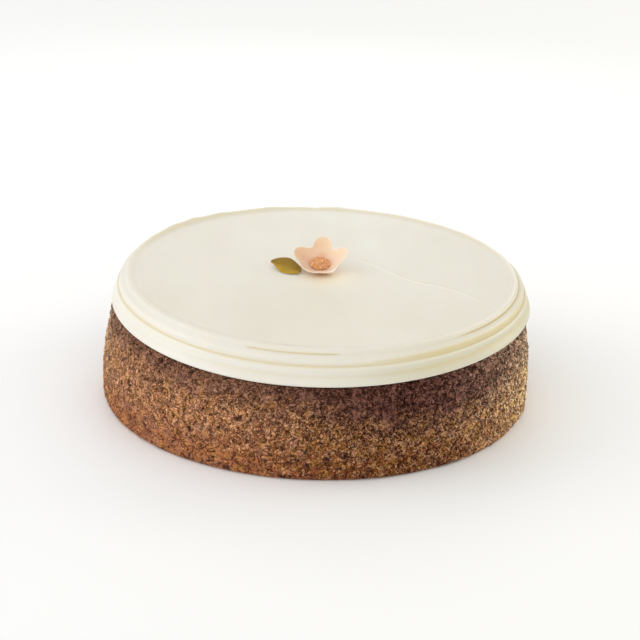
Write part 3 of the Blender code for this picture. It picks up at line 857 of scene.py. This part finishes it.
def icingMaterial(look, m, mottle):
    values = {"Roughness": 0.38, "Specular IOR Level": 0.4, "Subsurface Weight": 0.25,
              "Subsurface Radius": (0.0040, 0.0028, 0.0012), "Subsurface Scale": 1.0}
    material, tree, shader = newMaterial("ivoryIcing", values)
    coords = objectCoords(tree)
    slow = useGroup(tree, mottle, coords, Scale=14.0, Low=0.35, High=0.65)
    streak = useGroup(tree, mottle, objectCoords(tree, (1.0, 0.25, 1.0)), Scale=60.0, Low=0.35, High=0.65)
    colour = mixColours(tree, slow.outputs["Value"], look["ivory"], look["pale"])
    colour = mixColours(tree, times(tree, streak.outputs["Value"], 0.2), colour, look["cream"])
    # painted shade, warm light and highlight, from the attributes
    for name, share in (("lowBandShade", 0.45), ("warm", 0.75), ("warmShade", 1.0), ("paintedHighlight", 0.6)):
        painted = times(tree, readAttribute(tree, name), share)
        colour = mixColours(tree, painted, colour, look[name])
    # the spatula mark from the flower to the right, on the same path as in the mesh: a painted highlight
    # along its ridge, a pale line that fades as e to the minus square of the distance, with a painted
    # shade, a duller line, beside it
    split = node(tree, "ShaderNodeSeparateXYZ")
    tree.links.new(coords, split.inputs["Vector"])
    x, y = split.outputs["X"], split.outputs["Y"]
    turn = 2 * pi / m["swayLength"]
    bend = calc(tree, "SINE", calc(tree, "MULTIPLY_ADD", x, turn / mm, -turn * m["swayFrom"]))
    off = calc(tree, "MULTIPLY_ADD", x, m["fall"], calc(tree, "SUBTRACT", y, m["start"] * mm))
    off = calc(tree, "MULTIPLY_ADD", bend, -m["sway"] * mm, off)
    off = times(tree, off, m["slant"] / mm)
    ends = stretch(tree, x, 12 * mm, 24 * mm), stretch(tree, x, 84 * mm, 60 * mm)
    ends = times(tree, *ends)
    for shift, wide, share, tint in ((0.0, 0.8, 0.55, "paintedHighlight"), (1.9, 1.3, 0.16, "warmShade")):
        line = calc(tree, "DIVIDE", calc(tree, "SUBTRACT", off, shift), wide)
        line = calc(tree, "EXPONENT", times(tree, times(tree, line, line), -1.0))
        line = times(tree, times(tree, line, ends), share)
        colour = mixColours(tree, line, colour, look[tint])
    tree.links.new(colour, shader.inputs["Base Color"])
    tree.links.new(stretch(tree, streak.outputs["Value"], 0.0, 1.0, 0.33, 0.46), shader.inputs["Roughness"])
    fine = useGroup(tree, mottle, coords, Scale=260.0, Low=0.3, High=0.7)
    bump(tree, shader, fine.outputs["Value"], 0.12, 0.0003)
    return material


petalLook = {"peach": (0.84, 0.560, 0.405), "inner": (0.78, 0.40, 0.24), "rim": (0.95, 0.84, 0.76),
             # the last two are painted shade and painted light for the two sides of the flower
             "deep": (0.70, 0.415, 0.275), "light": (0.86, 0.655, 0.51)}


def petalMaterial(look, mottle):
    values = {"Roughness": 0.55, "Subsurface Weight": 0.5, "Subsurface Radius": (0.0040, 0.0022, 0.0013),
              "Subsurface Scale": 1.0}
    material, tree, shader = newMaterial("peachSugarPaste", values)
    coords = objectCoords(tree)
    edge = readAttribute(tree, "edge")
    slow = useGroup(tree, mottle, coords, Scale=220.0, Low=0.35, High=0.65)
    colour = mixColours(tree, stretch(tree, edge, 0.25, 0.6), look["inner"], look["peach"])
    # painted shade on the left petals, which face away from the light, and painted light on the right ones,
    # which face it
    side = readAttribute(tree, "side")
    colour = mixColours(tree, stretch(tree, side, -1.0, -9.0, 0.0, 0.6), colour, look["deep"])
    colour = mixColours(tree, stretch(tree, side, 1.0, 9.0, 0.0, 0.7), colour, look["light"])
    colour = mixColours(tree, readAttribute(tree, "paleRim"), colour, look["rim"])
    colour = mixColours(tree, times(tree, slow.outputs["Value"], 0.12), colour, look["rim"])
    tree.links.new(colour, shader.inputs["Base Color"])
    fine = useGroup(tree, mottle, coords, Scale=2400.0, Low=0.3, High=0.7)
    bump(tree, shader, fine.outputs["Value"], 0.15, 0.0002)
    return material


sugarLook = {"orange": (0.69, 0.285, 0.092), "peach": (0.93, 0.54, 0.270), "base": (0.78, 0.35, 0.135),
             "sugarGlint": (1.00, 0.78, 0.58)}


def sugarMaterial(look):
    values = {"Roughness": 0.5, "Subsurface Weight": 0.2, "Subsurface Radius": (0.001, 0.0006, 0.0003),
              "Subsurface Scale": 1.0}
    material, tree, shader = newMaterial("coarseSugar", values)
    tint = readAttribute(tree, "tint")
    colour = mixColours(tree, tint, look["orange"], look["peach"])
    # a few grains near white: painted glints
    colour = mixColours(tree, stretch(tree, tint, 0.90, 0.95), colour, look["sugarGlint"])
    tree.links.new(colour, shader.inputs["Base Color"])
    return material


def domeMaterial(look, grain):
    material, tree, shader = newMaterial("sugarBase", {"Roughness": 0.6})
    cells = useGroup(tree, grain, objectCoords(tree), Scale=1800.0, Gap=0.25)
    colour = mixColours(tree, cells.outputs["Cell"], look["base"], look["peach"])
    tree.links.new(colour, shader.inputs["Base Color"])
    bump(tree, shader, cells.outputs["Open"], 0.6, 0.0003)
    return material


leafLook = {"olive": (0.290, 0.175, 0.018), "yellow": (0.530, 0.315, 0.012), "dark": (0.165, 0.095, 0.010)}


def leafMaterial(look, mottle):
    material, tree, shader = newMaterial("olivePaste", {"Roughness": 0.45, "Specular IOR Level": 0.25})
    coords = objectCoords(tree)
    across = readAttribute(tree, "across")
    slow = useGroup(tree, mottle, coords, Scale=330.0, Low=0.35, High=0.65)
    # yellow towards the near, lower edge: a painted highlight
    colour = mixColours(tree, stretch(tree, across, 0.2, -0.9), look["olive"], look["yellow"])
    colour = mixColours(tree, times(tree, slow.outputs["Value"], 0.3), colour, look["dark"])
    tree.links.new(colour, shader.inputs["Base Color"])
    bump(tree, shader, slow.outputs["Value"], 0.15, 0.0003)
    return material


# Stage: a plain pale floor, soft light from both sides and a camera at the picture's angle
studio = {
    "floorSize": 8.0, "floorColour": (0.985, 0.990, 1.0),
    "left": (1.06, 1.06, 1.08), "right": (0.86, 0.85, 0.78), "front": 1.30, "back": 0.72, "zenith": 0.86,
    "lights": (
        ("key", (-1.3, -0.05, 0.5), 1.2, 4.5, (1.0, 1.0, 1.0)),
        ("fill", (1.2, 0.5, 0.4), 0.7, 3.0, (1.0, 0.94, 0.76)),
        ("rear", (0.0, 0.45, 0.3), 0.4, 0.25, (1.0, 1.0, 1.0)),
    ),
}
view = {
    "place": (1.64, -1207.63, 528.84), "target": (1.64, 49.8, 15.95), "roll": radians(1.95),
    "lens": 154.93, "sensor": 36.0,
}


def makeStage(s):
    half = s["floorSize"] / 2
    mesh = bpy.data.meshes.new("floor")
    corners = [(-half, -half, 0), (half, -half, 0), (half, half, 0), (-half, half, 0)]
    mesh.from_pydata(corners, [], [(0, 1, 2, 3)])
    floor = bpy.data.objects.new("floor", mesh)
    bpy.context.scene.collection.objects.link(floor)
    material, tree, shader = newMaterial("paleFloor", {"Roughness": 0.6})
    shader.inputs["Base Color"].default_value = (*s["floorColour"], 1)
    mesh.materials.append(material)
    # a white room, warmer and dimmer to the right, brighter behind the camera than behind the cake
    world = bpy.data.worlds.new("studio")
    world.use_nodes = True
    bpy.context.scene.world = world
    tree = world.node_tree
    back = tree.nodes["Background"]
    coords = node(tree, "ShaderNodeTexCoord")
    split = node(tree, "ShaderNodeSeparateXYZ")
    tree.links.new(coords.outputs["Generated"], split.inputs["Vector"])
    colour = mixColours(tree, stretch(tree, split.outputs["X"], -1.0, 1.0), s["left"], s["right"])
    tree.links.new(colour, back.inputs["Color"])
    level = stretch(tree, split.outputs["Y"], -1.0, 1.0, s["front"], s["back"])
    above = stretch(tree, split.outputs["Z"], 0.0, 1.0, 1.0, s["zenith"])
    tree.links.new(times(tree, level, above), back.inputs["Strength"])


def makeLight(name, spot, size, power, colour, aim=(0, 0, 0.03)):
    light = bpy.data.lights.new(name, "AREA")
    light.color = colour
    light.shape = "DISK"
    light.size = size
    light.energy = power
    lamp = bpy.data.objects.new(name, light)
    lamp.location = spot
    lamp.rotation_euler = (Vector(aim) - Vector(spot)).to_track_quat("-Z", "Y").to_euler()
    bpy.context.scene.collection.objects.link(lamp)


def makeCamera(v):
    camera = bpy.data.cameras.new("camera")
    camera.lens = v["lens"]
    camera.sensor_width = v["sensor"]
    camera.clip_start = 0.05
    camera.clip_end = 20.0
    eye = bpy.data.objects.new("camera", camera)
    spot, aim = Vector(v["place"]) * mm, Vector(v["target"]) * mm
    turn = (aim - spot).to_track_quat("-Z", "Y").to_matrix().to_4x4()
    eye.matrix_world = Matrix.Translation(spot) @ turn @ Matrix.Rotation(v["roll"], 4, "Z")
    bpy.context.scene.collection.objects.link(eye)
    bpy.context.scene.camera = eye


print("shader groups")
mottle = mottleGroup()
grain = grainGroup()
wrinkle = wrinkleGroup()

print("sponge")
place(makeSponge(sponge), "sponge", crumbMaterial(crumbLook, mottle, grain, wrinkle))

print("icing")
place(makeIcing(icing, spatula), "icing", icingMaterial(icingLook, spatula, mottle))

print("flower")
place(makeFlower(flower), "flower", petalMaterial(petalLook, mottle))
place(makeDome(dome, flower), "flower_centre", domeMaterial(sugarLook, grain))
place(makeGrains(dome, flower), "flower_centre", sugarMaterial(sugarLook))

print("leaf")
place(makeLeaf(leaf, flower), "leaf", leafMaterial(leafLook, mottle))

print("stage, light and camera")
makeStage(studio)
for light in studio["lights"]:
    makeLight(*light)
makeCamera(view)
bpy.context.scene.view_settings.view_transform = "Standard"
